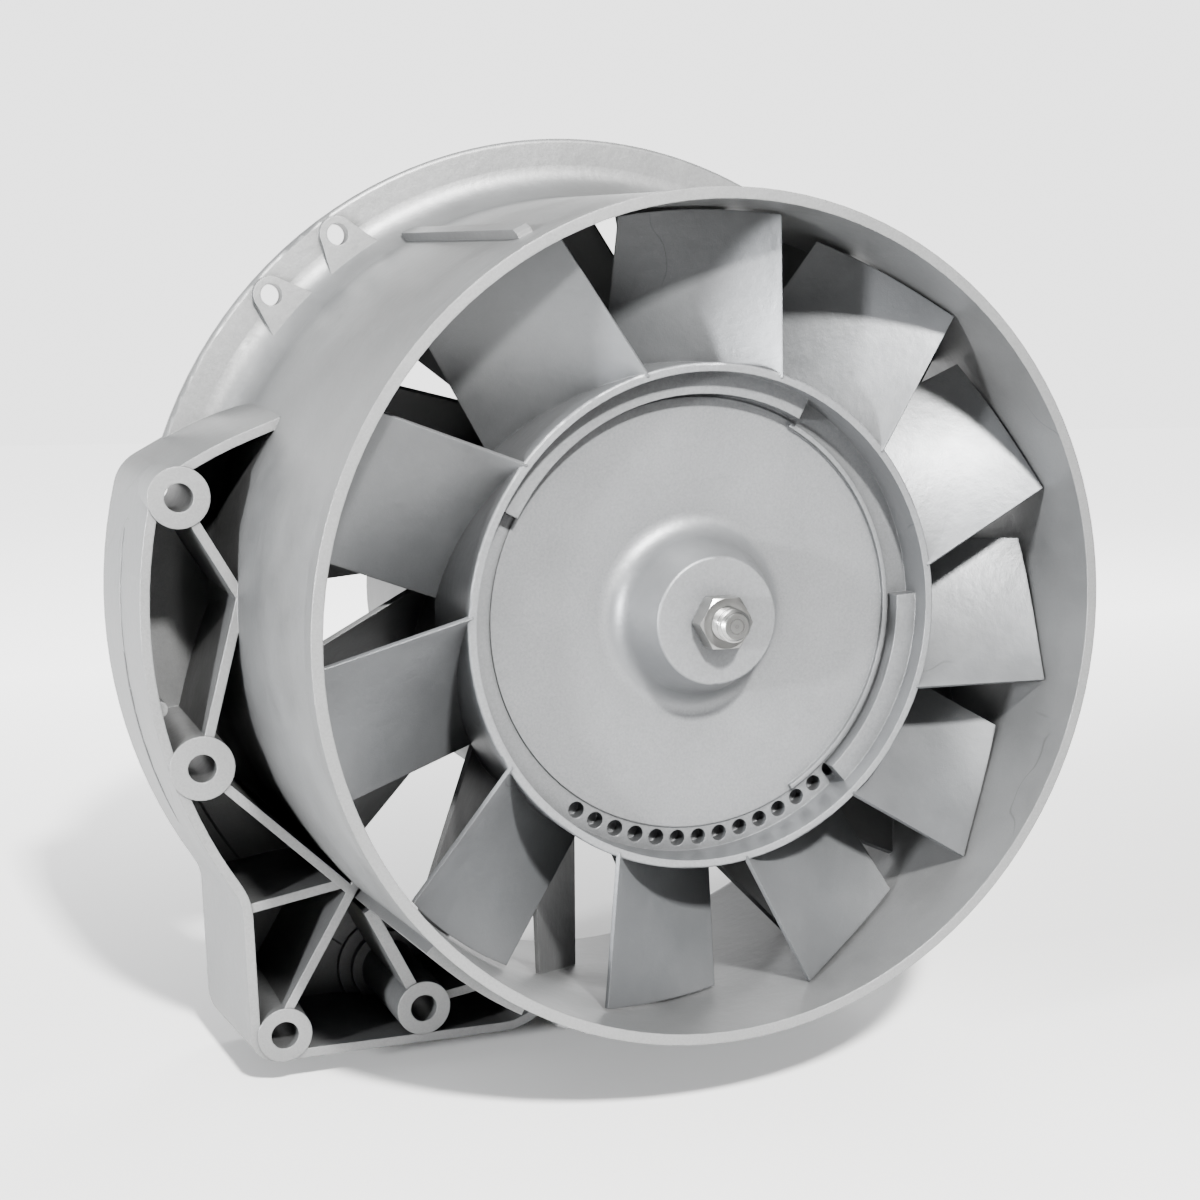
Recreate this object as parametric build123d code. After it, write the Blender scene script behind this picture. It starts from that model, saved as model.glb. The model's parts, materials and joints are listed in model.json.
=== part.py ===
from build123d import *
import math
import os

# Belt-driven axial cooling blower: a one-piece cast housing with guide vanes and a
# bolt-on bracket, and an 11-blade cast impeller on a shaft in two ball bearings.
# Millimetres. The fan axis is Y. The origin is the centre of the outlet rim's face,
# +Y points to the inlet flange and the drive pulley, +Z is up.

# ---------------------------------------------------------------- duct and flange
OUTLET_R = 150.0            # outer radius of the outlet spigot
OUTLET_LAND = 10.0          # straight length of the spigot before the draft begins
DUCT_WALL = 4.0             # wall at the outlet rim
DUCT_LENGTH = 160.0         # outlet rim to the inlet flange's back face
SHROUD_LAND = 40.0          # length of the straight bore
THROAT_R = 157.0            # bore radius where the inlet lip begins
THROAT_Y = 149.0            # where the inlet lip begins
DUCT_OUTER_R = 159.0        # outer radius where the duct meets the flange fillet
FLANGE_W = 24.0             # flange width outside the duct
FLANGE_T = 5.0
FLANGE_FLAT = 10.0          # flat part of the flange's front face, outside its fillet
LIP_FILLET = 9.0
FLARE_BLEND = 300.0         # blend radius between the straight bore and the flare
RIM_ROUND = 0.8

# ---------------------------------------------------------------- impeller
BLADES = 11
BLADE_FRONT_Y = 20.3        # trailing edges and hub ring face
TIP_GAP = 1.0               # blade tip to shroud bore
HUB_R = 91.3
HUB_RING_T = 3.1
HUB_BACK_Y = 61.0
BLADE_START = 12.5          # mean angle of the first blade's root, from +X towards +Z
BLADE_SHIFT = 5.2           # the pitch varies once a turn, by this many degrees
BLADE_SHIFT_PHASE = -155.6
TIP_LEAD = 7.1              # tip corner ahead of the root corner at the trailing edge
ROOT_WRAP = 34.0            # angle that the root chord wraps
TIP_WRAP = 28.2             # angle from the root corner to the tip's leading corner
TIP_BACK_Y = 43.0           # leading corner at the tip
BLADE_T = 2.6
BLADE_EDGE_T = 1.6
BLADE_CAMBER = 3.4
DISC_R = 79.0               # dished disc inside the balancing ledge
DISC_Y = 34.0
DISC_DISH = 3.0
DISC_T = 5.0
LEDGE_STEP = 0.8            # ledge lies this much behind the disc's edge
BOSS_FACE_R = 23.05
BOSS_FACE_Y = 15.9
BOSS_BASE_R = 31.0
BOSS_BACK_R = 22.0
BOSS_BACK_Y = 52.0
BALANCE_HOLES = 14
BALANCE_HOLE_R = 3.0
BALANCE_HOLE_DEPTH = 6.0
BALANCE_PCR = 83.3          # radius of the row of balancing holes
BALANCE_FROM = 235.8
BALANCE_STEP = 5.88
LEDGE_T = 8.5
LAND_H = 7.0                # raised balancing lands on the ledge
LAND_W = 8.0
LANDS = ((62.0, 152.0), (-48.0, 3.0))
BEAD_W = 1.6
BEAD_H = 1.6
BEAD_INSET = 0.6
BEAD_SPAN = (-60.0, 62.0)

# ---------------------------------------------------------------- guide vanes and hub
VANES = 17
VANE_TIP_START = 250.3      # trailing corner at the duct wall
VANE_SWEEP = 16.5           # tip corner ahead of the root corner
VANE_ROOT_WRAP = 21.5
VANE_TIP_WRAP = 27.5
VANE_FRONT_Y = 66.0
VANE_BACK_Y = 102.0
VANE_T = 3.4
VANE_EDGE_T = 2.0
VANE_CAMBER = 2.0
STATOR_HUB_R = 90.5
STATOR_HUB_T = 4.0
STATOR_HUB_GAP = 3.0        # impeller hub ring to stator hub rim
STATOR_HUB_BACK_Y = 163.0
WEB_Y = 104.0               # front face of the web that carries the bearings
WEB_T = 6.0
WEB_RIBS = 8
WEB_RIB_T = 5.0
WEB_RIB_DEPTH = 32.0
CARRIER_R = 33.0

# ---------------------------------------------------------------- bearings and shaft
SHAFT_R = 10.0              # bearing seats
IMPELLER_SEAT_R = 9.0       # impeller and pulley seats
STUD_R = 6.0                # M12 front end
STUD_CHAMFER = 1.5
REAR_THREAD_R = 7.0         # M14 rear end
THREAD_GAP = 0.03
BEARING_OD_R = 23.5
BEARING_W = 14.0
BALL_R = 3.97
BALLS = 8
BALL_GAP = 0.22             # ball to track
RACE_INNER_R = 14.4
RACE_OUTER_R = 19.2
CAGE_GAP = 1.0
CAGE_W = 9.6
POCKET_GAP = 0.25
FRONT_RING_L = 16.0         # distance ring between impeller and front bearing
RING_R = 14.0
SLEEVE_L = 42.0
SLEEVE_R = 13.0
REAR_RING_L = 12.0
SHOULDER_R = 20.5           # bore between the bearing seats
CIRCLIP_T = 1.75
CIRCLIP_R = 24.7
CIRCLIP_INNER_R = 20.6
CIRCLIP_GAP_DEG = 70.0
CIRCLIP_EAR_R = 2.6
GROOVE_R = 24.75
SEAL_W = 7.0
SEAL_OFFSET = 1.25          # circlip to seal
SEAL_GAP = 0.3              # lip to distance ring
SEAL_RECESS = 1.0           # seal to the carrier's end face

# ---------------------------------------------------------------- pulley and fasteners
PULLEY_HUB_R = 20.0
PULLEY_HUB_L = 34.0
PULLEY_R = 62.5
PULLEY_RIM_FROM = 9.0       # rim's front face behind the hub's front face
PULLEY_RIM_W = 22.0
PULLEY_RIM_DEPTH = 15.0
PULLEY_WEB_T = 6.0
GROOVE_TOP_W = 14.0
GROOVE_DEPTH = 11.0
GROOVE_ANGLE = 38.0
PULLEY_HOLES = 4
PULLEY_HOLE_R = 7.5
PULLEY_HOLE_PCR = 34.0
KEY_W = 6.0
KEY_H = 6.0
KEY_L = 24.0
KEY_IN_SHAFT = 3.5
KEY_GAP = 0.05
WASHER_R = 15.0
WASHER_T = 3.0
REAR_NUT_AF = 22.0
REAR_NUT_H = 11.0
REAR_THREAD_STICKOUT = 4.0
FRONT_NUT_AF = 18.0
FRONT_NUT_H = 7.9
STUD_STICKOUT = 8.0

# ---------------------------------------------------------------- bracket
BRACKET_FRONT_Y = 97.0
BRACKET_R = 190.5           # curved outer wall, about the fan axis
BRACKET_WALL = 3.6
BRACKET_WEB_T = 4.5
BRACKET_DRAFT = 5.0
RIB_DRAFT = 0.8
BOLT_HOLE_R = 5.25
BOSS_PROUD = 0.6
BOSSES = (                  # x, z, radius of the four bolt bosses
    (-175.5, 43.0, 11.3),
    (-169.8, -56.5, 12.0),
    (-141.6, -162.0, 10.4),
    (-87.0, -158.5, 10.6),
)
TOP_TIP = (-137.0, 72.0)    # where the top wall leaves the duct
TOP_CORNER = (-184.0, 49.2)
TOP_BULGE = 2.0             # the top wall bows up by this much
TOP_ROUND = 150.0
LOWER_ROUND = 22.0
FOOT_ROUND = 24.0
LOWER_CORNER = (-156.3, -108.9)
FOOT_CORNER = (-154.0, -172.0)
FOOT_END = (-48.0, -172.6)
FOOT_RISE = (-20.0, -157.0)
BRACKET_RIBS = (            # x and z of both ends, thickness, set-back from the front
    ((-175.5, 43.0), (-153.9, 5.9), 3.6, 0.0),
    ((-169.8, -56.5), (-153.9, 5.9), 3.6, 0.0),
    ((-169.8, -56.5), (-113.7, -109.8), 3.6, 0.0),
    ((-155.3, -111.9), (-118.0, -105.5), 3.6, 0.5),
    ((-145.6, -162.0), (-112.0, -104.0), 3.6, 0.0),
    ((-87.0, -158.5), (-108.0, -117.0), 4.6, 0.0),
    ((-87.0, -158.5), (-58.0, -154.0), 3.6, 6.0),
    ((-87.0, -158.5), (-87.0, -171.6), 5.0, 0.0),
)
RING_STEPS = ((20.5, 5.0), (15.5, 9.0))     # radius and height of the steps round the fourth boss
LUG = (-184.2, -34.0, 3.0)
PAD_ANGLES = (125.9, 137.7)
PAD_HOLE_R = 4.25
PAD_PCR = 174.6
PAD_NOSE_R = 7.2
PAD_BASE_R = 161.0
PAD_BASE_HALF = 12.5
PAD_H = 2.6
DUCT_PAD = (224.5, 240.5)   # thickened stretch of the duct beside the bracket
DUCT_PAD_Y = 12.0
DUCT_PAD_H = 4.0
DUCT_RIBS = (               # angle, width, front end of each rib on the duct's outside
    (117.7, 5.5, 20.0),
    (246.8, 3.6, 12.0),
    (250.9, 3.6, 12.0),
)
DUCT_RIB_H = 3.4

# ---------------------------------------------------------------- worked-out places
BORE_R = OUTLET_R - DUCT_WALL
TIP_R = BORE_R - TIP_GAP
FLANGE_R = DUCT_OUTER_R + FLANGE_W
FLANGE_FILLET = FLANGE_W - FLANGE_FLAT
FLANGE_FRONT_Y = DUCT_LENGTH - FLANGE_T
STATOR_HUB_Y = HUB_BACK_Y + STATOR_HUB_GAP
FRONT_BEARING_Y = BOSS_BACK_Y + FRONT_RING_L
REAR_BEARING_Y = FRONT_BEARING_Y + BEARING_W + SLEEVE_L
PULLEY_Y = REAR_BEARING_Y + BEARING_W + REAR_RING_L
FRONT_CIRCLIP_Y = FRONT_BEARING_Y - CIRCLIP_T
REAR_CIRCLIP_Y = REAR_BEARING_Y + BEARING_W
FRONT_SEAL_Y = FRONT_CIRCLIP_Y - SEAL_OFFSET - SEAL_W
REAR_SEAL_Y = REAR_CIRCLIP_Y + CIRCLIP_T + SEAL_OFFSET
CARRIER_FRONT_Y = FRONT_SEAL_Y - SEAL_RECESS
CARRIER_BACK_Y = REAR_SEAL_Y + SEAL_W + SEAL_RECESS
WASHER_Y = PULLEY_Y + PULLEY_HUB_L
REAR_NUT_Y = WASHER_Y + WASHER_T
SHAFT_END_Y = REAR_NUT_Y + REAR_NUT_H + REAR_THREAD_STICKOUT
FRONT_NUT_Y = BOSS_FACE_Y - FRONT_NUT_H
STUD_END_Y = FRONT_NUT_Y - STUD_STICKOUT
BALL_PCR = (RACE_INNER_R + RACE_OUTER_R) / 2
TRACK_R = BALL_R + BALL_GAP
LEDGE_Y = DISC_Y + LEDGE_STEP
BACK = (0, 1, 0)            # extrusion direction, towards the inlet


# ---------------------------------------------------------------- small helpers
def spun(points, arc=360.0, start=0.0):
    """Turn a closed (radius, y) outline about the fan axis, from a start angle."""
    outline = make_face(Polyline(*[(r, y) for r, y in points], close=True))
    turned = revolve(outline, axis=Axis.Y, revolution_arc=arc)
    return at_angle(turned, start + arc)


def at_angle(shape, angle):
    """Turn a shape about the fan axis by an angle measured from +X towards +Z."""
    return Rot(0, -angle, 0) * shape


def ring(r_in, r_out, y0, y1):
    return spun([(r_in, y0), (r_out, y0), (r_out, y1), (r_in, y1)])


def disc(r, y0, y1):
    return spun([(0, y0), (r, y0), (r, y1), (0, y1)])


def front_plane(y):
    """Sketch plane across the fan axis at y, with local axes along X and Z."""
    return Plane(origin=(0, y, 0), x_dir=(1, 0, 0), z_dir=(0, -1, 0))


def post(x, z, r, y0, y1, draft=0.0):
    """Round post along the fan axis; draft widens it towards the back."""
    base = front_plane(y0) * Pos(x, z) * Circle(r)
    return extrude(base, amount=y1 - y0, dir=BACK, taper=-draft)


def hexagon(across_flats, r_in, y0, y1):
    """Nut: a hexagon with chamfered corners and a plain bore."""
    corner_r = across_flats / math.sqrt(3)
    shape = front_plane(y0) * RegularPolygon(corner_r, 6)
    body = extrude(shape, amount=y1 - y0, dir=BACK)
    crown = (corner_r - across_flats / 2) * 0.58
    flat_r = across_flats / 2
    cone = spun([(0, y0), (flat_r, y0), (corner_r + 0.1, y0 + crown),
                 (corner_r + 0.1, y1 - crown), (flat_r, y1), (0, y1)])
    return (body & cone) - disc(r_in, y0 - 1, y1 + 1)


def polar(radius, angle):
    return (radius * math.cos(math.radians(angle)), radius * math.sin(math.radians(angle)))


# ---------------------------------------------------------------- blades and vanes
def blade(front_root, front_tip, back_root, back_tip, thick, edge, camber, r_in, r_out):
    """Twisted blade between two radii. Each corner is (radius, angle, y)."""
    middle = (front_root[1] + back_root[1]) / 2

    def local(corner):
        depth, side = polar(corner[0], corner[1] - middle)
        return Vector(depth, corner[2], side)

    def at_depth(root, tip, depth):
        a, b = local(root), local(tip)
        return a + (b - a) * ((depth - a.X) / (b.X - a.X))

    def section(depth):
        front = at_depth(front_root, front_tip, depth)
        back = at_depth(back_root, back_tip, depth)
        chord = back - front
        normal = Vector(0, -chord.Z, chord.Y).normalized()
        centre = (front + back) * 0.5 - normal * camber
        lead = normal * (edge / 2)
        bulge = normal * (thick / 2)
        near = ThreePointArc(front + lead, centre + bulge, back + lead)
        far = ThreePointArc(back - lead, centre - bulge, front - lead)
        ends = [Line(back + lead, back - lead), Line(front - lead, front + lead)]
        return make_face(Curve() + [near, ends[0], far, ends[1]])

    inner = r_in * math.cos(math.radians((back_root[1] - front_root[1]) / 2)) - 3
    y0 = min(front_root[2], front_tip[2]) - 5
    y1 = max(back_root[2], back_tip[2]) + 9
    body = loft([section(inner), section(r_out + 3)], ruled=True)
    return at_angle(body & ring(r_in, r_out, y0, y1), middle)


def blade_angle(k):
    """Root angle of blade k; the pitch is uneven, which breaks up the blade tone."""
    even = k * 360.0 / BLADES
    return BLADE_START + even + BLADE_SHIFT * math.sin(math.radians(even + BLADE_SHIFT_PHASE))


def impeller_blade(k):
    root = blade_angle(k)
    return blade((HUB_R, root, BLADE_FRONT_Y), (TIP_R, root + TIP_LEAD, BLADE_FRONT_Y),
                 (HUB_R, root + ROOT_WRAP, HUB_BACK_Y), (TIP_R, root + TIP_WRAP, TIP_BACK_Y),
                 BLADE_T, BLADE_EDGE_T, BLADE_CAMBER, HUB_R - HUB_RING_T / 2, TIP_R)


def guide_vane(k):
    tip = VANE_TIP_START - k * 360.0 / VANES
    root = tip - VANE_SWEEP
    hub = STATOR_HUB_R
    return blade((hub, root, VANE_FRONT_Y), (OUTLET_R, tip, VANE_FRONT_Y),
                 (hub, root + VANE_ROOT_WRAP, VANE_BACK_Y),
                 (OUTLET_R, root + VANE_TIP_WRAP, VANE_BACK_Y),
                 VANE_T, VANE_EDGE_T, VANE_CAMBER, hub - STATOR_HUB_T / 2,
                 OUTLET_R + DUCT_WALL / 2)


# ---------------------------------------------------------------- housing
def duct_outer():
    """Outside of the duct and its flange, as one turned solid."""
    profile = make_face(Polyline(
        (0, 0), (OUTLET_R, 0), (OUTLET_R, OUTLET_LAND), (DUCT_OUTER_R, FLANGE_FRONT_Y),
        (FLANGE_R, FLANGE_FRONT_Y), (FLANGE_R, DUCT_LENGTH), (0, DUCT_LENGTH), close=True))
    profile = rounded(profile, (DUCT_OUTER_R, FLANGE_FRONT_Y), FLANGE_FILLET)
    profile = rounded(profile, (FLANGE_R, FLANGE_FRONT_Y), 2 * RIM_ROUND)
    profile = rounded(profile, (FLANGE_R, DUCT_LENGTH), RIM_ROUND)
    return revolve(profile, axis=Axis.Y)


def duct_bore():
    """Air passage: straight over the impeller, flaring to a rounded inlet lip."""
    flare = (THROAT_R - BORE_R) / (THROAT_Y - SHROUD_LAND)
    mouth_r = THROAT_R + flare * (DUCT_LENGTH - THROAT_Y)
    far = DUCT_LENGTH + 2 * LIP_FILLET
    wide = mouth_r + 2 * LIP_FILLET
    profile = make_face(Polyline(
        (0, -5), (BORE_R, -5), (BORE_R, SHROUD_LAND), (mouth_r, DUCT_LENGTH),
        (wide, DUCT_LENGTH), (wide, far), (0, far), close=True))
    profile = rounded(profile, (mouth_r, DUCT_LENGTH), LIP_FILLET)
    profile = rounded(profile, (BORE_R, SHROUD_LAND), FLARE_BLEND)
    return revolve(profile, axis=Axis.Y)


def rounded(face, point, radius):
    """Round the outline's vertex nearest to a point."""
    target = Vector(point[0], point[1], 0)
    nearest = min(face.vertices(), key=lambda v: (Vector(v.X, v.Y, v.Z) - target).length)
    return fillet([nearest], radius)


def bracket_outline():
    """Front outline of the bracket; its inner side lies within the duct."""
    corner = math.degrees(math.atan2(TOP_CORNER[1], TOP_CORNER[0]))
    lower = math.degrees(math.atan2(LOWER_CORNER[1], LOWER_CORNER[0])) + 360
    middle = polar(BRACKET_R, (corner + lower) / 2)
    slope = (TOP_TIP[1] - TOP_CORNER[1]) / (TOP_TIP[0] - TOP_CORNER[0])
    top_in = (TOP_TIP[0] + 20, TOP_TIP[1] + 20 * slope)
    top_mid = ((TOP_TIP[0] + TOP_CORNER[0]) / 2, (TOP_TIP[1] + TOP_CORNER[1]) / 2 + TOP_BULGE)
    foot_in = (FOOT_RISE[0] + 8, FOOT_RISE[1] + 30)
    edges = Curve() + [
        Polyline(top_in, TOP_TIP, top_mid, TOP_CORNER),
        ThreePointArc(TOP_CORNER, middle, LOWER_CORNER),
        Polyline(LOWER_CORNER, FOOT_CORNER, FOOT_END, FOOT_RISE, foot_in, top_in),
    ]
    outline = make_face(edges)
    for point, radius in ((TOP_CORNER, BOSSES[0][2]), (LOWER_CORNER, LOWER_ROUND),
                          (FOOT_CORNER, BOSSES[2][2]), (FOOT_END, FOOT_ROUND),
                          (top_mid, TOP_ROUND)):
        outline = rounded(outline, point, radius)
    return outline


def wall(start, end, thick, front):
    """Straight rib between two (x, z) points, from a front plane to the back web."""
    along = math.degrees(math.atan2(end[1] - start[1], end[0] - start[0]))
    length = math.dist(start, end)
    middle = ((start[0] + end[0]) / 2, (start[1] + end[1]) / 2)
    strip = front_plane(front) * Pos(*middle) * Rot(0, 0, along) * Rectangle(length, thick)
    depth = DUCT_LENGTH - BRACKET_WEB_T / 2 - front
    return extrude(strip, amount=depth, dir=BACK, taper=-RIB_DRAFT)


def bracket():
    """Open-fronted box beside the duct, with bolt bosses tied in by ribs."""
    outline = bracket_outline()
    depth = DUCT_LENGTH - BRACKET_FRONT_Y
    front = front_plane(BRACKET_FRONT_Y)
    block = extrude(front * outline, amount=depth, dir=BACK, taper=-BRACKET_DRAFT)
    inner = offset(outline, -BRACKET_WALL)
    hollow = extrude(front_plane(BRACKET_FRONT_Y - 1) * inner, amount=depth + 1 - BRACKET_WEB_T,
                     dir=BACK)
    shell = block - hollow
    ribs = [wall(start, end, thick, BRACKET_FRONT_Y + set_back)
            for start, end, thick, set_back in BRACKET_RIBS]
    back = DUCT_LENGTH - BRACKET_WEB_T / 2
    steps = [post(BOSSES[3][0], BOSSES[3][1], r, back - high, back) for r, high in RING_STEPS]
    lug = post(LUG[0], LUG[1], LUG[2], BRACKET_FRONT_Y + 2, back)
    added = (Part() + ribs + steps + [lug]) & block
    bosses = [post(x, z, r, BRACKET_FRONT_Y - BOSS_PROUD, DUCT_LENGTH - 1, 1.0) for x, z, r in BOSSES]
    return shell + added + bosses


def flange_pads():
    """Raised rounded-triangle pads round the two small holes in the flange."""
    nose = Pos(PAD_PCR, 0) * Circle(PAD_NOSE_R)
    base = Polygon((PAD_BASE_R, -PAD_BASE_HALF), (PAD_BASE_R, PAD_BASE_HALF),
                   (PAD_PCR + PAD_NOSE_R / 2, PAD_NOSE_R * 0.86),
                   (PAD_PCR + PAD_NOSE_R / 2, -PAD_NOSE_R * 0.86), align=None)
    shape = front_plane(FLANGE_FRONT_Y - PAD_H) * (nose + base)
    pad = extrude(shape, amount=PAD_H + FLANGE_T / 2, dir=BACK)
    return [at_angle(pad, angle) for angle in PAD_ANGLES]


def duct_ribs():
    """Axial ribs on the outside of the duct, following its draft."""
    slope = (DUCT_OUTER_R - OUTLET_R) / (FLANGE_FRONT_Y - OUTLET_LAND)
    ribs = []
    for angle, width, front in DUCT_RIBS:
        top = OUTLET_R + slope * (front - OUTLET_LAND) + DUCT_RIB_H
        end_y = FLANGE_FRONT_Y - FLANGE_FILLET / 2
        end = top + slope * (end_y - front)
        low = OUTLET_R - DUCT_WALL / 2
        side = make_face(Polyline((low, front), (top - DUCT_RIB_H / 2, front), (top, front + DUCT_RIB_H / 2),
                                  (end, end_y), (low, end_y), close=True))
        ribs.append(at_angle(extrude(side, amount=width / 2, both=True), angle))
    return ribs


def duct_pad():
    """Thickened stretch of the duct wall that runs forward from the bracket."""
    low = OUTLET_R - DUCT_WALL / 2
    slope = (DUCT_OUTER_R - OUTLET_R) / (FLANGE_FRONT_Y - OUTLET_LAND)
    front = OUTLET_R + DUCT_PAD_H
    back = front + slope * (BRACKET_FRONT_Y - DUCT_PAD_Y)
    end_y = BRACKET_FRONT_Y + BRACKET_WALL
    return spun([(low, DUCT_PAD_Y), (front, DUCT_PAD_Y), (back, end_y), (low, end_y)],
                DUCT_PAD[1] - DUCT_PAD[0], DUCT_PAD[0])


def stator_hub():
    """Drum that carries the vanes, with the bearing carrier on a ribbed web."""
    inner = STATOR_HUB_R - STATOR_HUB_T
    drum = ring(inner, STATOR_HUB_R, STATOR_HUB_Y, STATOR_HUB_BACK_Y)
    web = ring(CARRIER_R - 2, inner + 1, WEB_Y, WEB_Y + WEB_T)
    carrier = ring(SHOULDER_R, CARRIER_R, CARRIER_FRONT_Y, CARRIER_BACK_Y)
    rib = Pos((CARRIER_R + inner) / 2, WEB_Y + WEB_T + WEB_RIB_DEPTH / 2 - 1, 0) * Box(
        inner - CARRIER_R + 4, WEB_RIB_DEPTH + 2, WEB_RIB_T)
    ribs = [at_angle(rib, k * 360.0 / WEB_RIBS + 12) for k in range(WEB_RIBS)]
    return drum + web + carrier + ribs


def bearing_bores():
    """Seats for the bearings, circlip grooves and seals."""
    front = disc(BEARING_OD_R, CARRIER_FRONT_Y - 1, FRONT_BEARING_Y + BEARING_W)
    rear = disc(BEARING_OD_R, REAR_BEARING_Y, CARRIER_BACK_Y + 1)
    grooves = [disc(GROOVE_R, y, y + CIRCLIP_T) for y in (FRONT_CIRCLIP_Y, REAR_CIRCLIP_Y)]
    return Part() + [front, rear] + grooves


def housing():
    """The whole casting: duct, flange, vanes, stator hub and bracket."""
    body = duct_outer() + bracket() + flange_pads() + duct_ribs() + duct_pad()
    body = body - duct_bore()
    body = body + [stator_hub()] + [guide_vane(k) for k in range(VANES)]
    body = body - bearing_bores()
    holes = [post(x, z, BOLT_HOLE_R, BRACKET_FRONT_Y - 5, DUCT_LENGTH + 5) for x, z, _ in BOSSES]
    for angle in PAD_ANGLES:
        x, z = polar(PAD_PCR, angle)
        holes.append(post(x, z, PAD_HOLE_R, FLANGE_FRONT_Y - 10, DUCT_LENGTH + 5))
    return body - holes


# ---------------------------------------------------------------- impeller
def impeller_hub():
    """Hub ring, balancing ledge, dished disc and boss, as one turned outline."""
    inner = HUB_R - HUB_RING_T
    dish_y = DISC_Y + DISC_DISH
    profile = make_face(Polyline(
        (IMPELLER_SEAT_R, BOSS_FACE_Y), (BOSS_FACE_R, BOSS_FACE_Y), (BOSS_BASE_R, dish_y),
        (DISC_R, DISC_Y), (DISC_R, LEDGE_Y), (inner, LEDGE_Y), (inner, BLADE_FRONT_Y),
        (HUB_R, BLADE_FRONT_Y), (HUB_R, HUB_BACK_Y), (inner, HUB_BACK_Y),
        (inner, LEDGE_Y + LEDGE_T), (DISC_R - 4, LEDGE_Y + LEDGE_T), (DISC_R - 8, DISC_Y + DISC_T),
        (BOSS_BACK_R + 9, dish_y + DISC_T), (BOSS_BACK_R, dish_y + DISC_T + 4),
        (BOSS_BACK_R, BOSS_BACK_Y), (IMPELLER_SEAT_R, BOSS_BACK_Y), close=True))
    profile = rounded(profile, (BOSS_BASE_R, dish_y), 9.0)
    profile = rounded(profile, (BOSS_FACE_R, BOSS_FACE_Y), 1.0)
    profile = rounded(profile, (HUB_R, BLADE_FRONT_Y), 0.8)
    return revolve(profile, axis=Axis.Y)


def balancing_lands():
    """Raised lands left on the ledge, and the bead that runs beside them."""
    inner = HUB_R - HUB_RING_T
    pads = [spun([(inner - LAND_W, LEDGE_Y + 1), (inner + 0.5, LEDGE_Y + 1),
                  (inner + 0.5, LEDGE_Y - LAND_H), (inner - LAND_W, LEDGE_Y - LAND_H)], b - a, a)
            for a, b in LANDS]
    bead_r = DISC_R - BEAD_INSET
    bead = spun([(bead_r - BEAD_W, DISC_Y + 2), (bead_r, DISC_Y + 2), (bead_r, DISC_Y - BEAD_H),
                 (bead_r - BEAD_W, DISC_Y - BEAD_H)], BEAD_SPAN[1] - BEAD_SPAN[0], BEAD_SPAN[0])
    return pads + [bead]


def impeller():
    body = impeller_hub() + balancing_lands() + [impeller_blade(k) for k in range(BLADES)]
    for k in range(BALANCE_HOLES):
        x, z = polar(BALANCE_PCR, BALANCE_FROM + k * BALANCE_STEP)
        body = body - post(x, z, BALANCE_HOLE_R, LEDGE_Y - 2, LEDGE_Y + BALANCE_HOLE_DEPTH)
    return body


# ---------------------------------------------------------------- shaft and its pieces
def shaft():
    body = spun([
        (0, STUD_END_Y), (STUD_R - STUD_CHAMFER, STUD_END_Y), (STUD_R, STUD_END_Y + STUD_CHAMFER),
        (STUD_R, BOSS_FACE_Y + 2), (IMPELLER_SEAT_R, BOSS_FACE_Y + 2), (IMPELLER_SEAT_R, BOSS_BACK_Y),
        (SHAFT_R, BOSS_BACK_Y), (SHAFT_R, PULLEY_Y), (IMPELLER_SEAT_R, PULLEY_Y),
        (IMPELLER_SEAT_R, WASHER_Y - 1), (REAR_THREAD_R, WASHER_Y - 1),
        (REAR_THREAD_R, SHAFT_END_Y - STUD_CHAMFER), (REAR_THREAD_R - STUD_CHAMFER, SHAFT_END_Y),
        (0, SHAFT_END_Y)])
    return body - key_blank(0.0)


def key_blank(gap):
    """Key standing in the shaft at +X; gap widens it for the pulley's keyway."""
    centre_y = PULLEY_Y + PULLEY_HUB_L / 2
    centre_x = IMPELLER_SEAT_R - KEY_IN_SHAFT + (KEY_H + gap) / 2
    return Pos(centre_x, centre_y, 0) * Box(KEY_H + gap, KEY_L, KEY_W + 2 * gap)


def belt_pulley():
    """Single-groove V-belt pulley with a drilled web."""
    rim_y = PULLEY_Y + PULLEY_RIM_FROM
    rim_in = PULLEY_R - PULLEY_RIM_DEPTH
    middle = rim_y + PULLEY_RIM_W / 2
    web_y = middle - PULLEY_WEB_T / 2
    half_top = GROOVE_TOP_W / 2
    half_low = half_top - GROOVE_DEPTH * math.tan(math.radians(GROOVE_ANGLE / 2))
    body = spun([
        (IMPELLER_SEAT_R, PULLEY_Y), (PULLEY_HUB_R, PULLEY_Y), (PULLEY_HUB_R, web_y),
        (rim_in, web_y), (rim_in, rim_y), (PULLEY_R, rim_y), (PULLEY_R, middle - half_top),
        (PULLEY_R - GROOVE_DEPTH, middle - half_low), (PULLEY_R - GROOVE_DEPTH, middle + half_low),
        (PULLEY_R, middle + half_top), (PULLEY_R, rim_y + PULLEY_RIM_W),
        (rim_in, rim_y + PULLEY_RIM_W), (rim_in, web_y + PULLEY_WEB_T),
        (PULLEY_HUB_R, web_y + PULLEY_WEB_T), (PULLEY_HUB_R, WASHER_Y),
        (IMPELLER_SEAT_R, WASHER_Y)])
    for k in range(PULLEY_HOLES):
        x, z = polar(PULLEY_HOLE_PCR, 45 + k * 360.0 / PULLEY_HOLES)
        body = body - post(x, z, PULLEY_HOLE_R, web_y - 1, web_y + PULLEY_WEB_T + 1)
    keyway_top = IMPELLER_SEAT_R - KEY_IN_SHAFT + KEY_H + KEY_GAP
    keyway = Pos(keyway_top / 2, PULLEY_Y + PULLEY_HUB_L / 2, 0) * Box(
        keyway_top, PULLEY_HUB_L + 2, KEY_W + 2 * KEY_GAP)
    return body - keyway


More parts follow.
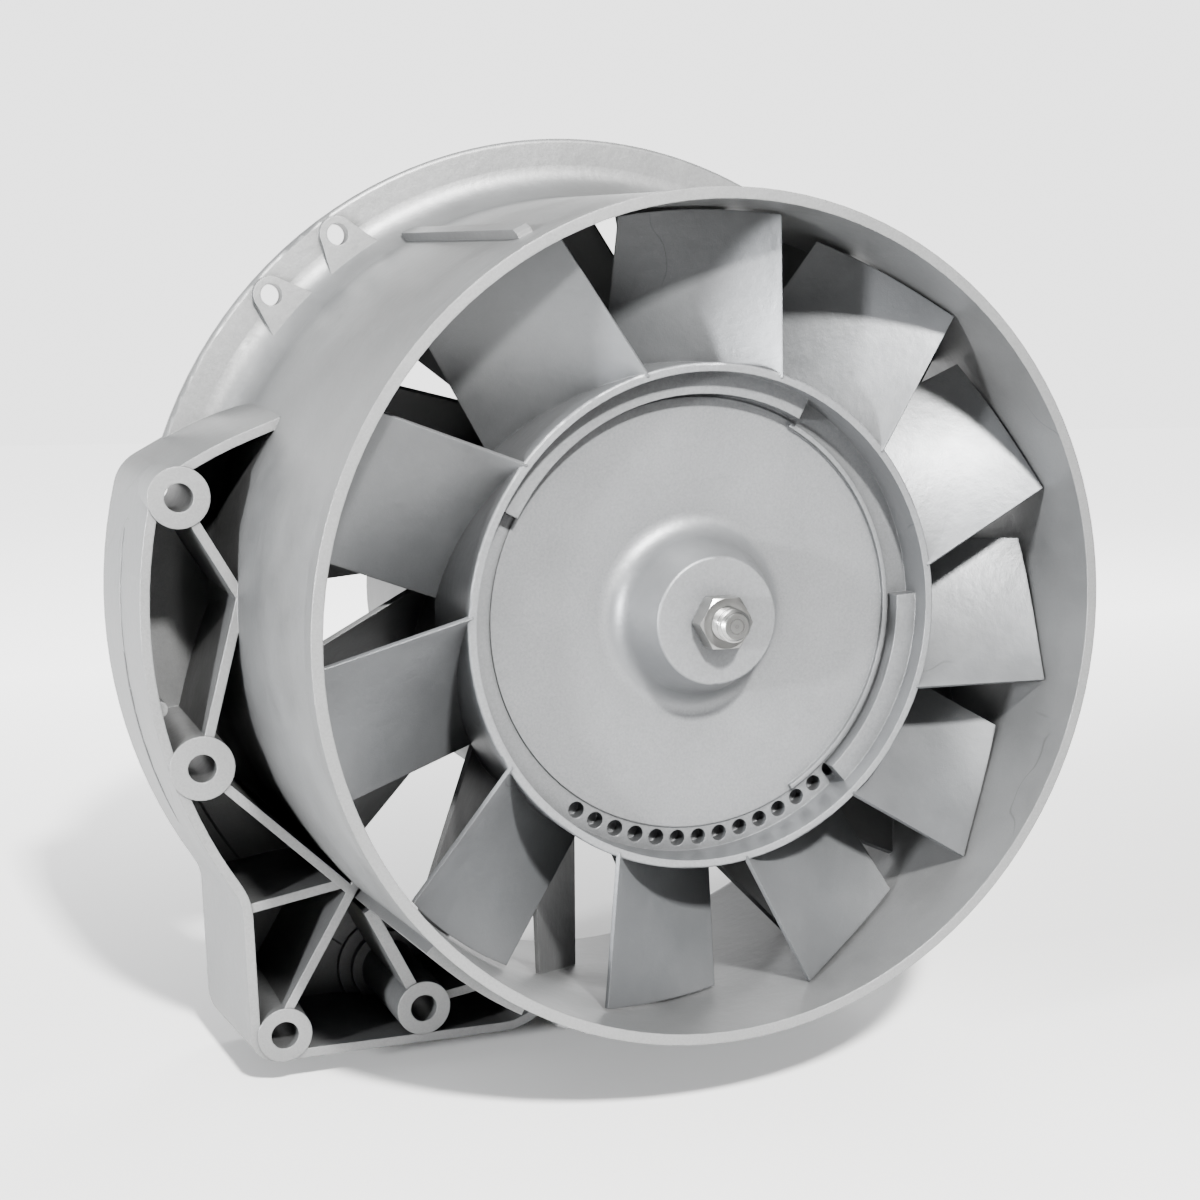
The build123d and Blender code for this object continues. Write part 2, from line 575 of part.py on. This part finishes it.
# ---------------------------------------------------------------- bearings
def track(y):
    """Ring-shaped space that the balls run in, for a bearing that starts at y."""
    centre = y + BEARING_W / 2
    return Pos(0, centre, 0) * Rot(90, 0, 0) * Torus(BALL_PCR, TRACK_R)


def inner_ring(y):
    return ring(SHAFT_R, RACE_INNER_R, y, y + BEARING_W) - track(y)


def outer_ring(y):
    return ring(RACE_OUTER_R, BEARING_OD_R, y, y + BEARING_W) - track(y)


def ball_places(y):
    """Place of each ball, with the ball's pole pointing away from the fan axis."""
    for k in range(BALLS):
        yield Rot(0, -k * 360.0 / BALLS, 0) * Pos(BALL_PCR, y + BEARING_W / 2, 0) * Rot(0, 90, 0)


def balls(y):
    return Compound(children=[place * Sphere(BALL_R) for place in ball_places(y)])


def cage(y):
    middle = y + BEARING_W / 2
    body = ring(RACE_INNER_R + CAGE_GAP, RACE_OUTER_R - CAGE_GAP, middle - CAGE_W / 2, middle + CAGE_W / 2)
    pocket = BALL_R + POCKET_GAP
    return body - [place * Sphere(pocket) for place in ball_places(y)]


def circlip(y):
    """Open internal circlip with two drilled ears."""
    open_half = CIRCLIP_GAP_DEG / 2
    body = spun([(CIRCLIP_INNER_R, y), (CIRCLIP_R, y), (CIRCLIP_R, y + CIRCLIP_T),
                 (CIRCLIP_INNER_R, y + CIRCLIP_T)], 360 - CIRCLIP_GAP_DEG, 90 + open_half)
    for side in (-1, 1):
        x, z = polar(CIRCLIP_INNER_R + 0.6, 90 + side * open_half)
        body = body + post(x, z, CIRCLIP_EAR_R, y, y + CIRCLIP_T)
        body = body - post(x, z, CIRCLIP_EAR_R / 2.6, y - 1, y + CIRCLIP_T + 1)
    return body


def shaft_seal(y):
    """Radial shaft seal running on a distance ring."""
    lip = RING_R + SEAL_GAP
    return spun([(lip + 2.5, y), (BEARING_OD_R, y), (BEARING_OD_R, y + SEAL_W),
                 (BEARING_OD_R - 2, y + SEAL_W), (BEARING_OD_R - 2, y + 2), (lip + 2.5, y + 2),
                 (lip + 1.8, y + SEAL_W - 1.5), (lip, y + SEAL_W - 2.5), (lip, y + 2.5)])


# ---------------------------------------------------------------- write the pieces
PIECES = {
    "housing": housing,
    "impeller": impeller,
    "fan_shaft": shaft,
    "impeller_nut": lambda: hexagon(FRONT_NUT_AF, STUD_R + THREAD_GAP, FRONT_NUT_Y, BOSS_FACE_Y),
    "front_distance_ring": lambda: ring(SHAFT_R, RING_R, BOSS_BACK_Y, FRONT_BEARING_Y),
    "front_bearing_inner_ring": lambda: inner_ring(FRONT_BEARING_Y),
    "front_bearing_outer_ring": lambda: outer_ring(FRONT_BEARING_Y),
    "front_bearing_balls": lambda: balls(FRONT_BEARING_Y),
    "front_bearing_cage": lambda: cage(FRONT_BEARING_Y),
    "bearing_spacer_sleeve": lambda: ring(SHAFT_R, SLEEVE_R, FRONT_BEARING_Y + BEARING_W, REAR_BEARING_Y),
    "rear_bearing_inner_ring": lambda: inner_ring(REAR_BEARING_Y),
    "rear_bearing_outer_ring": lambda: outer_ring(REAR_BEARING_Y),
    "rear_bearing_balls": lambda: balls(REAR_BEARING_Y),
    "rear_bearing_cage": lambda: cage(REAR_BEARING_Y),
    "rear_distance_ring": lambda: ring(SHAFT_R, RING_R, REAR_BEARING_Y + BEARING_W, PULLEY_Y),
    "bearing_circlips": lambda: Compound(children=[circlip(FRONT_CIRCLIP_Y), circlip(REAR_CIRCLIP_Y)]),
    "front_shaft_seal": lambda: shaft_seal(FRONT_SEAL_Y),
    "rear_shaft_seal": lambda: shaft_seal(REAR_SEAL_Y),
    "belt_pulley": belt_pulley,
    "pulley_key": lambda: key_blank(0.0),
    "pulley_washer": lambda: ring(REAR_THREAD_R + 0.5, WASHER_R, WASHER_Y, REAR_NUT_Y),
    "pulley_nut": lambda: hexagon(REAR_NUT_AF, REAR_THREAD_R + THREAD_GAP, REAR_NUT_Y,
                                  REAR_NUT_Y + REAR_NUT_H),
}

os.makedirs("parts", exist_ok=True)
for name, make in PIECES.items():
    export_step(make(), f"parts/{name}.step")
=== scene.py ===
import json
import math

import bmesh
import bpy
from mathutils import Matrix, Vector


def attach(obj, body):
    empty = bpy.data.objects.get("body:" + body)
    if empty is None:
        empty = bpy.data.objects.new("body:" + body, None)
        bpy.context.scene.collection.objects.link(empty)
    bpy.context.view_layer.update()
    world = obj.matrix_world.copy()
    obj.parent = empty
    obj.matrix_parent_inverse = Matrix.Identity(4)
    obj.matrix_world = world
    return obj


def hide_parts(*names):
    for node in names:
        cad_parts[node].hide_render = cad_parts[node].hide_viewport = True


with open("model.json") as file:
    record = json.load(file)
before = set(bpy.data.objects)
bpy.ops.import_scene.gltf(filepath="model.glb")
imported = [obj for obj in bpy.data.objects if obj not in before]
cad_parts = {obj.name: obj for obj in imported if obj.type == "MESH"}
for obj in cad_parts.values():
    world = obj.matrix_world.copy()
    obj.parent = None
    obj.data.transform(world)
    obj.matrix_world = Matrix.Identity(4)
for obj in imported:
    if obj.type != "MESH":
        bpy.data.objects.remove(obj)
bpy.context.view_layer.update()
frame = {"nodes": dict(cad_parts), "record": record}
scene = bpy.context.scene

# ------------------------------------------------------------------ camera
CAMERA_PLACE = (-0.27455, -0.56732, 0.09023)
CAMERA_RIGHT = (0.9305, -0.3663, 0.0)
CAMERA_UP = (0.0467, 0.1187, 0.9918)
CAMERA_BACK = (-0.3633, -0.9229, 0.1276)
LENS = 54.80

camera_data = bpy.data.cameras.new("camera")
camera_data.lens = LENS
camera_data.sensor_width = 36.0
camera_data.clip_start = 0.01
camera_data.clip_end = 50.0
camera = bpy.data.objects.new("camera", camera_data)
scene.collection.objects.link(camera)
axes = Matrix((CAMERA_RIGHT, CAMERA_UP, CAMERA_BACK)).transposed()
camera.matrix_world = Matrix.Translation(CAMERA_PLACE) @ axes.to_4x4()
scene.camera = camera

# ------------------------------------------------------------------ sizes shared with the CAD
STUD_END_Y = 0.0
STUD_R = 0.006
STUD_CHAMFER = 0.0015
BOSS_FACE_Y = 0.0159
IMPELLER_SEAT_R = 0.009
BOSS_BACK_Y = 0.052
SHAFT_R = 0.010
PULLEY_Y = 0.150
WASHER_Y = 0.184
SHAFT_END_Y = 0.202
REAR_THREAD_R = 0.007
BRACKET_FRONT_Y = 0.097


# ------------------------------------------------------------------ node helpers
MIXED = 2                   # a colour mix node's colour socket, among its outputs


class Tree:
    """Short calls for building a material's nodes."""

    def __init__(self, name):
        self.material = bpy.data.materials.new(name)
        self.material.use_nodes = True
        self.tree = self.material.node_tree
        self.tree.nodes.clear()
        self.shader = self.add("ShaderNodeBsdfPrincipled")
        self.output = self.add("ShaderNodeOutputMaterial")
        self.link(self.shader, "BSDF", self.output, "Surface")
        self.place = self.add("ShaderNodeTexCoord")

    def add(self, kind, **settings):
        node = self.tree.nodes.new(kind)
        for key, value in settings.items():
            setattr(node, key, value)
        return node

    def link(self, a, out, b, into):
        self.tree.links.new(a.outputs[out], b.inputs[into])

    def noise(self, scale, detail=3.0, rough=0.5, stretch=None):
        node = self.add("ShaderNodeTexNoise")
        node.inputs["Scale"].default_value = scale
        node.inputs["Detail"].default_value = detail
        node.inputs["Roughness"].default_value = rough
        if stretch is None:
            self.link(self.place, "Object", node, "Vector")
        else:
            mapping = self.add("ShaderNodeMapping")
            mapping.inputs["Scale"].default_value = stretch
            self.link(self.place, "Object", mapping, "Vector")
            self.link(mapping, "Vector", node, "Vector")
        return node

    def ramp(self, source, out, low, high, a, b):
        """Turn low..high of a value into a..b, both of them numbers."""
        node = self.add("ShaderNodeMapRange")
        node.inputs["From Min"].default_value = low
        node.inputs["From Max"].default_value = high
        node.inputs["To Min"].default_value = a
        node.inputs["To Max"].default_value = b
        self.link(source, out, node, "Value")
        return node

    def mix(self, factor, out, a, b):
        """Mix two colours, each a colour or a (node, socket) pair."""
        node = self.add("ShaderNodeMix", data_type="RGBA")
        self.link(factor, out, node, "Factor")
        for name, value in (("A", a), ("B", b)):
            socket = [s for s in node.inputs if s.name == name and s.type == "RGBA"][0]
            if isinstance(value[0], (int, float)):
                socket.default_value = (*value, 1.0)
            else:
                self.tree.links.new(value[0].outputs[value[1]], socket)
        return node

    def colour_out(self, node):
        return [s for s in node.outputs if s.type == "RGBA"][0]


def grey(value, warm=0.0):
    return (value * (1 + warm), value, value * (1 - warm))


CREASE_SHADE_REACH = 0.005         # how far into a crease the painted shade reaches, in metres
POCKET_REACH = 0.055        # how near walls have to be for a pocket to get painted shade
EDGE_R = 0.0007
EDGE_LIGHT = 0.35
GRAIN = 0.25


def shade(base, factor):
    """The base colour made lighter or darker, no brighter than white."""
    return tuple(min(1.0, c * factor) for c in base)


def cast_metal(name, base, metallic, rough):
    """Bare casting: cloudy colour, fine sand grain, painted shade in creases and pockets, front
    faces frosted and paler, partly as painted light, and edges lighter from wear and a painted
    highlight.
    """
    t = Tree(name)
    s = t.shader
    s.inputs["Metallic"].default_value = metallic
    s.inputs["Specular IOR Level"].default_value = 0.5

    cloud = t.noise(34.0, 4.0, 0.6)
    blotch = t.noise(9.0, 2.0, 0.5)
    dust = t.noise(620.0, 3.0, 0.6)
    streak = t.noise(160.0, 3.0, 0.6, (1.0, 0.12, 1.0))
    body = t.mix(t.ramp(cloud, "Fac", 0.3, 0.7, 0.0, 1.0), "Result",
                 shade(base, 0.86), shade(base, 1.09))
    tint = t.mix(t.ramp(blotch, "Fac", 0.35, 0.7, 0.0, 0.35), "Result",
                 (body, MIXED), tuple(c * f for c, f in zip(base, (0.92, 0.97, 1.02))))
    speck = t.mix(t.ramp(dust, "Fac", 0.60, 0.78, 0.0, 0.22), "Result",
                  (tint, MIXED), shade(base, 0.62))
    scuffs_and_painted_light = t.mix(t.ramp(streak, "Fac", 0.62, 0.80, 0.0, 0.25), "Result",
                  (speck, MIXED), shade(base, 1.35))

    # rare dark flow marks, thin lines where a broad noise crosses its middle value
    lines = t.noise(17.0, 2.0, 0.45)
    near_line = t.ramp(lines, "Fac", 0.4955, 0.5045, 0.0, 1.0)
    hump = t.add("ShaderNodeMath", operation="PINGPONG")
    hump.inputs[1].default_value = 0.5
    t.link(near_line, "Result", hump, 0)
    rare = t.ramp(t.noise(26.0, 1.0, 0.5), "Fac", 0.60, 0.66, 0.0, 1.1)
    mark = t.add("ShaderNodeMath", operation="MULTIPLY")
    t.link(hump, "Value", mark, 0)
    t.link(rare, "Result", mark, 1)
    scuffs_and_painted_light = t.mix(mark, "Value", (scuffs_and_painted_light, MIXED), shade(base, 0.35))

    # faces that look squarely out of the duct have a frosted, grainy skin; their paler colour
    # is partly painted light, as they face the front key lamp
    geometry = t.add("ShaderNodeNewGeometry")
    facing = t.add("ShaderNodeSeparateXYZ")
    t.link(geometry, "Normal", facing, "Vector")
    front = t.ramp(facing, "Y", -0.90, -0.985, 0.0, 1.0)
    grit = t.noise(1100.0, 3.0, 0.7)
    frosted_and_lit = t.mix(t.ramp(grit, "Fac", 0.35, 0.68, 0.0, 1.0), "Result",
                    shade(base, 1.12), shade(base, 1.38))
    scuffs_and_painted_light = t.mix(front, "Result", (scuffs_and_painted_light, MIXED), (frosted_and_lit, MIXED))

    # painted shade: creases are darkened, in streaks
    crease = t.add("ShaderNodeAmbientOcclusion", samples=1)
    crease.inputs["Distance"].default_value = CREASE_SHADE_REACH
    crease_shade = t.add("ShaderNodeMath", operation="MULTIPLY")
    t.link(t.ramp(crease, "AO", 0.75, 0.25, 0.0, 1.0), "Result", crease_shade, 0)
    t.link(t.ramp(streak, "Fac", 0.35, 0.65, 0.15, 0.75), "Result", crease_shade, 1)
    scuffs_and_painted_light = t.mix(crease_shade, "Value", (scuffs_and_painted_light, MIXED), shade(base, 0.40))

    # painted shade: deep pockets among walls are darkened
    pocket = t.add("ShaderNodeAmbientOcclusion", samples=2)
    pocket.inputs["Distance"].default_value = POCKET_REACH
    pocket_shade = t.ramp(pocket, "AO", 0.70, 0.25, 0.0, 0.92)
    scuffs_and_painted_light = t.mix(pocket_shade, "Result", (scuffs_and_painted_light, MIXED), shade(base, 0.24))

    # edges made lighter, partly for wear and partly as a painted highlight
    bevel = t.add("ShaderNodeBevel", samples=2)
    bevel.inputs["Radius"].default_value = EDGE_R
    dot = t.add("ShaderNodeVectorMath", operation="DOT_PRODUCT")
    t.link(bevel, "Normal", dot, 0)
    t.link(geometry, "Normal", dot, 1)
    wear_and_edge_highlight = t.ramp(dot, "Value", 0.99, 0.80, 0.0, EDGE_LIGHT)
    final = t.mix(wear_and_edge_highlight, "Result", (scuffs_and_painted_light, MIXED), shade(base, 1.55))
    t.tree.links.new(t.colour_out(final), s.inputs["Base Color"])

    gloss = t.ramp(cloud, "Fac", 0.25, 0.75, rough - 0.05, rough + 0.07)
    t.link(gloss, "Result", s, "Roughness")

    fine = t.noise(2300.0, 2.0, 0.55)
    coarse = t.noise(240.0, 3.0, 0.55)
    bump_a = t.add("ShaderNodeBump")
    bump_a.inputs["Strength"].default_value = GRAIN
    bump_a.inputs["Distance"].default_value = 0.00012
    t.link(fine, "Fac", bump_a, "Height")
    t.link(bevel, "Normal", bump_a, "Normal")
    bump_b = t.add("ShaderNodeBump")
    bump_b.inputs["Strength"].default_value = GRAIN
    bump_b.inputs["Distance"].default_value = 0.0005
    t.link(coarse, "Fac", bump_b, "Height")
    t.link(bump_a, "Normal", bump_b, "Normal")
    t.link(bump_b, "Normal", s, "Normal")
    return t.material


def turned_metal(name, base, rough, rings=900.0, metallic=1.0):
    """Machined or ground metal with fine marks that run round the fan axis."""
    t = Tree(name)
    s = t.shader
    s.inputs["Metallic"].default_value = metallic
    split = t.add("ShaderNodeSeparateXYZ")
    t.link(t.place, "Object", split, "Vector")
    flat = t.add("ShaderNodeCombineXYZ")
    t.link(split, "X", flat, "X")
    t.link(split, "Z", flat, "Z")
    length = t.add("ShaderNodeVectorMath", operation="LENGTH")
    t.link(flat, "Vector", length, 0)
    marks_at = t.add("ShaderNodeCombineXYZ")
    t.link(length, "Value", marks_at, "X")
    t.link(split, "Y", marks_at, "Y")
    marks = t.add("ShaderNodeTexNoise")
    marks.inputs["Scale"].default_value = rings
    marks.inputs["Detail"].default_value = 4.0
    t.link(marks_at, "Vector", marks, "Vector")
    cloud = t.noise(120.0, 3.0, 0.6)
    body = t.mix(t.ramp(cloud, "Fac", 0.3, 0.7, 0.0, 1.0), "Result",
                 shade(base, 0.85), shade(base, 1.08))
    t.tree.links.new(t.colour_out(body), s.inputs["Base Color"])
    t.link(t.ramp(marks, "Fac", 0.3, 0.7, rough - 0.06, rough + 0.10), "Result", s, "Roughness")
    bevel = t.add("ShaderNodeBevel", samples=2)
    bevel.inputs["Radius"].default_value = 0.0003
    bump = t.add("ShaderNodeBump")
    bump.inputs["Strength"].default_value = 0.25
    bump.inputs["Distance"].default_value = 0.00005
    t.link(marks, "Fac", bump, "Height")
    t.link(bevel, "Normal", bump, "Normal")
    t.link(bump, "Normal", s, "Normal")
    return t.material


def moulded_rubber(name):
    t = Tree(name)
    cloud = t.noise(300.0, 3.0, 0.6)
    body = t.mix(t.ramp(cloud, "Fac", 0.3, 0.7, 0.0, 1.0), "Result", grey(0.012), grey(0.03))
    t.tree.links.new(t.colour_out(body), t.shader.inputs["Base Color"])
    t.link(t.ramp(cloud, "Fac", 0.3, 0.7, 0.55, 0.75), "Result", t.shader, "Roughness")
    return t.material


def pale_floor():
    t = Tree("pale_floor")
    cloud = t.noise(3.0, 2.0, 0.5)
    body = t.mix(t.ramp(cloud, "Fac", 0.3, 0.7, 0.0, 1.0), "Result", grey(0.66), grey(0.68))
    # painted shade: the floor in front of the part is dark, standing for a dark room there
    split = t.add("ShaderNodeSeparateXYZ")
    t.link(t.place, "Object", split, "Vector")
    near = t.ramp(split, "Y", -0.15, -0.60, 0.0, 1.0)
    body = t.mix(near, "Result", (body, MIXED), grey(0.10))
    t.tree.links.new(t.colour_out(body), t.shader.inputs["Base Color"])
    # painted light: the floor behind the part glows, brighter further back
    t.shader.inputs["Emission Color"].default_value = (1.0, 1.0, 1.0, 1.0)
    t.link(t.ramp(split, "Y", 0.15, 1.10, 0.0, 2.7), "Result", t.shader, "Emission Strength")
    t.shader.inputs["Roughness"].default_value = 0.9
    t.shader.inputs["Specular IOR Level"].default_value = 0.1
    return t.material


# ------------------------------------------------------------------ materials of the CAD nodes
MATERIALS = {
    "cast_housing": cast_metal("cast_housing", (0.150, 0.152, 0.153), 0.55, 0.44),
    "cast_impeller": cast_metal("cast_impeller", (0.148, 0.152, 0.157), 0.55, 0.42),
    "plated_fastener": turned_metal("plated_fastener", (0.27, 0.27, 0.265), 0.34, 500.0),
    "ground_steel": turned_metal("ground_steel", (0.36, 0.36, 0.355), 0.28),
    "bearing_steel": turned_metal("bearing_steel", (0.66, 0.66, 0.67), 0.14, 1400.0),
    "spring_steel": turned_metal("spring_steel", (0.16, 0.16, 0.17), 0.45),
    "seal_rubber": moulded_rubber("seal_rubber"),
    "cage_steel": turned_metal("cage_steel", (0.50, 0.50, 0.50), 0.38),
    "pulley_iron": cast_metal("pulley_iron", (0.150, 0.152, 0.152), 0.60, 0.48),
}
for part in frame["record"]["subparts"]:
    node = frame["nodes"][part["node"]]
    node.data.materials.clear()
    node.data.materials.append(MATERIALS[part["material_slot"]])


# ------------------------------------------------------------------ piece helpers
def new_piece(name, mesh, body, slot):
    """Put a mesh in the scene as a piece that rides on a CAD body."""
    obj = bpy.data.objects.new(name, mesh)
    scene.collection.objects.link(obj)
    obj.data.materials.append(MATERIALS[slot])
    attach(obj, body)
    return obj


def grid_mesh(name, rows):
    """Skin rings of equal length into a tube with closed ends."""
    count = len(rows[0])
    points = [p for row in rows for p in row]
    faces = []
    for i in range(len(rows) - 1):
        for j in range(count):
            k = (j + 1) % count
            near, far = i * count, (i + 1) * count
            faces.append((near + j, near + k, far + k, far + j))
    faces.append(tuple(reversed(range(count))))
    faces.append(tuple((len(rows) - 1) * count + j for j in range(count)))
    mesh = bpy.data.meshes.new(name)
    mesh.from_pydata(points, [], faces)
    mesh.update()
    tidy = bmesh.new()
    tidy.from_mesh(mesh)
    bmesh.ops.recalc_face_normals(tidy, faces=tidy.faces)
    tidy.to_mesh(mesh)
    tidy.free()
    return mesh


# ------------------------------------------------------------------ shaft with its threads
SEGMENTS = 72
FRONT_PITCH = 0.00150
REAR_PITCH = 0.00150
THREAD_DEPTH = 0.00080
END_SHRINK = 0.0004         # how much the first ring of the front end is smaller
STUD_IN_BOSS = 0.002        # unthreaded stud inside the boss
WASHER_LAP = 0.001          # where the rear seat ends inside the washer
ROWS_PER_PITCH = 8


def ring_points(y, radius_at):
    points = []
    for j in range(SEGMENTS):
        a = 2 * math.pi * j / SEGMENTS
        r = radius_at(a, y)
        points.append((r * math.cos(a), y, r * math.sin(a)))
    return points


def thread_radius(major, pitch):
    """Rounded V thread of a major radius, as a function of angle and y."""
    def radius(a, y):
        phase = (y / pitch + a / (2 * math.pi)) % 1.0
        crest = min(1.0, max(0.0, (abs(phase - 0.5) * 2 - 0.12) / 0.76))
        return major - THREAD_DEPTH * (1.0 - crest)
    return radius


def plain(radius):
    return lambda a, y: radius


def shaft_mesh():
    rows = [ring_points(STUD_END_Y, plain(STUD_R - STUD_CHAMFER - END_SHRINK)),
            ring_points(STUD_END_Y, plain(STUD_R - STUD_CHAMFER))]
    front = thread_radius(STUD_R, FRONT_PITCH)
    steps = int((BOSS_FACE_Y - STUD_END_Y) / (FRONT_PITCH / ROWS_PER_PITCH))
    for i in range(1, steps + 1):
        y = STUD_END_Y + (BOSS_FACE_Y - STUD_END_Y) * i / steps
        cone = STUD_R - STUD_CHAMFER + (y - STUD_END_Y)
        rows.append(ring_points(y, lambda a, y, cone=cone: min(front(a, y), cone)))
    stud_root, seat_end = BOSS_FACE_Y + STUD_IN_BOSS, WASHER_Y - WASHER_LAP
    for y, r in ((stud_root, STUD_R), (stud_root, IMPELLER_SEAT_R),
                 (BOSS_BACK_Y, IMPELLER_SEAT_R), (BOSS_BACK_Y, SHAFT_R),
                 (PULLEY_Y, SHAFT_R), (PULLEY_Y, IMPELLER_SEAT_R),
                 (seat_end, IMPELLER_SEAT_R), (seat_end, REAR_THREAD_R)):
        rows.append(ring_points(y, plain(r)))
    rear = thread_radius(REAR_THREAD_R, REAR_PITCH)
    steps = int((SHAFT_END_Y - WASHER_Y) / (REAR_PITCH / ROWS_PER_PITCH))
    for i in range(steps + 1):
        y = WASHER_Y + (SHAFT_END_Y - WASHER_Y) * i / steps
        cone = REAR_THREAD_R - STUD_CHAMFER + (SHAFT_END_Y - y)
        rows.append(ring_points(y, lambda a, y, cone=cone: min(rear(a, y), cone)))
    return grid_mesh("threaded_fan_shaft", rows)


shaft = new_piece("threaded_fan_shaft", shaft_mesh(), "rotor", "ground_steel")
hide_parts("fan_shaft")

# ------------------------------------------------------------------ parting line
BRACKET_R = 0.1905
BRACKET_DRAFT = math.tan(math.radians(5.0))
PARTING_Y = 0.129
PARTING_SPAN = (171.0, 206.0)
PARTING_STEPS = 60
PARTING_W = 0.00055
PARTING_H = 0.00045
PARTING_SIDES = 8
WANDER = ((0.00025, 9), (0.00012, 41))      # size and rate of its two waves


def parting_mesh():
    """Low ridge that follows the bracket's curved outer wall."""
    rows = []
    base = BRACKET_R + (PARTING_Y - BRACKET_FRONT_Y) * BRACKET_DRAFT
    for i in range(PARTING_STEPS + 1):
        share = i / PARTING_STEPS
        angle = math.radians(PARTING_SPAN[0] + (PARTING_SPAN[1] - PARTING_SPAN[0]) * share)
        taper = min(1.0, 8 * share, 8 * (1 - share)) * 0.9 + 0.1
        wander = sum(size * math.sin(rate * share) for size, rate in WANDER)
        row = []
        for k in range(PARTING_SIDES):
            a = 2 * math.pi * k / PARTING_SIDES
            r = base + PARTING_H * taper * math.sin(a)
            y = PARTING_Y + wander + PARTING_W * taper * math.cos(a)
            row.append((r * math.cos(angle), y, r * math.sin(angle)))
        rows.append(row)
    return grid_mesh("parting_line", rows)


new_piece("parting_line", parting_mesh(), "housing", "cast_housing")

# ------------------------------------------------------------------ floor, world and lights
FLOOR_Z = -0.1835
FLOOR_HALF = 6.0
floor_mesh = bpy.data.meshes.new("floor")
corners = [(x * FLOOR_HALF, y * FLOOR_HALF, FLOOR_Z)
           for x, y in ((-1, -1), (1, -1), (1, 1), (-1, 1))]
floor_mesh.from_pydata(corners, [], [(0, 1, 2, 3)])
floor = bpy.data.objects.new("floor", floor_mesh)
scene.collection.objects.link(floor)
floor.data.materials.append(pale_floor())

world = bpy.data.worlds.new("studio")
scene.world = world
world.use_nodes = True
sky = world.node_tree
background = sky.nodes["Background"]
background.inputs["Color"].default_value = (1.0, 1.0, 1.0, 1.0)
direction = sky.nodes.new("ShaderNodeTexCoord")
height = sky.nodes.new("ShaderNodeSeparateXYZ")
sky.links.new(direction.outputs["Generated"], height.inputs["Vector"])
BACKDROP = 2.6              # strength of the pale backdrop behind the part
AMBIENT = 0.24              # strength everywhere else


def smooth_range(axis, low, high, at_low, at_high):
    """Ease from one value to another as a direction's axis goes from low to high."""
    node = sky.nodes.new("ShaderNodeMapRange")
    node.interpolation_type = "SMOOTHSTEP"
    for socket, value in (("From Min", low), ("From Max", high),
                          ("To Min", at_low), ("To Max", at_high)):
        node.inputs[socket].default_value = value
    sky.links.new(height.outputs[axis], node.inputs["Value"])
    return node


band = smooth_range("Z", 0.20, 0.40, BACKDROP, 0.0)
behind = smooth_range("Y", 0.25, 0.70, 0.0, 1.0)
glow = sky.nodes.new("ShaderNodeMath")
glow.operation = "MULTIPLY_ADD"
glow.inputs[2].default_value = AMBIENT
sky.links.new(band.outputs["Result"], glow.inputs[0])
sky.links.new(behind.outputs["Result"], glow.inputs[1])
sky.links.new(glow.outputs["Value"], background.inputs["Strength"])

LIGHTS = (                  # name, place, target, watts, width, colour
    ("key", (-0.12, -1.35, 1.07), (0.0, 0.0, 0.0), 200.0, 0.12, (1.0, 0.99, 0.97)),
    ("left", (-1.77, -0.64, 0.17), (0.0, 0.05, 0.0), 125.0, 0.16, (0.98, 0.99, 1.0)),
    ("back", (0.9, 1.4, 1.3), (0.0, 0.1, 0.0), 30.0, 0.8, (1.0, 1.0, 1.0)),
)
for name, place, target, watts, width, colour in LIGHTS:
    data = bpy.data.lights.new(name, "AREA")
    data.energy = watts
    data.size = width
    data.color = colour
    lamp = bpy.data.objects.new(name, data)
    scene.collection.objects.link(lamp)
    lamp.location = place
    lamp.rotation_euler = (Vector(target) - Vector(place)).to_track_quat("-Z", "Y").to_euler()
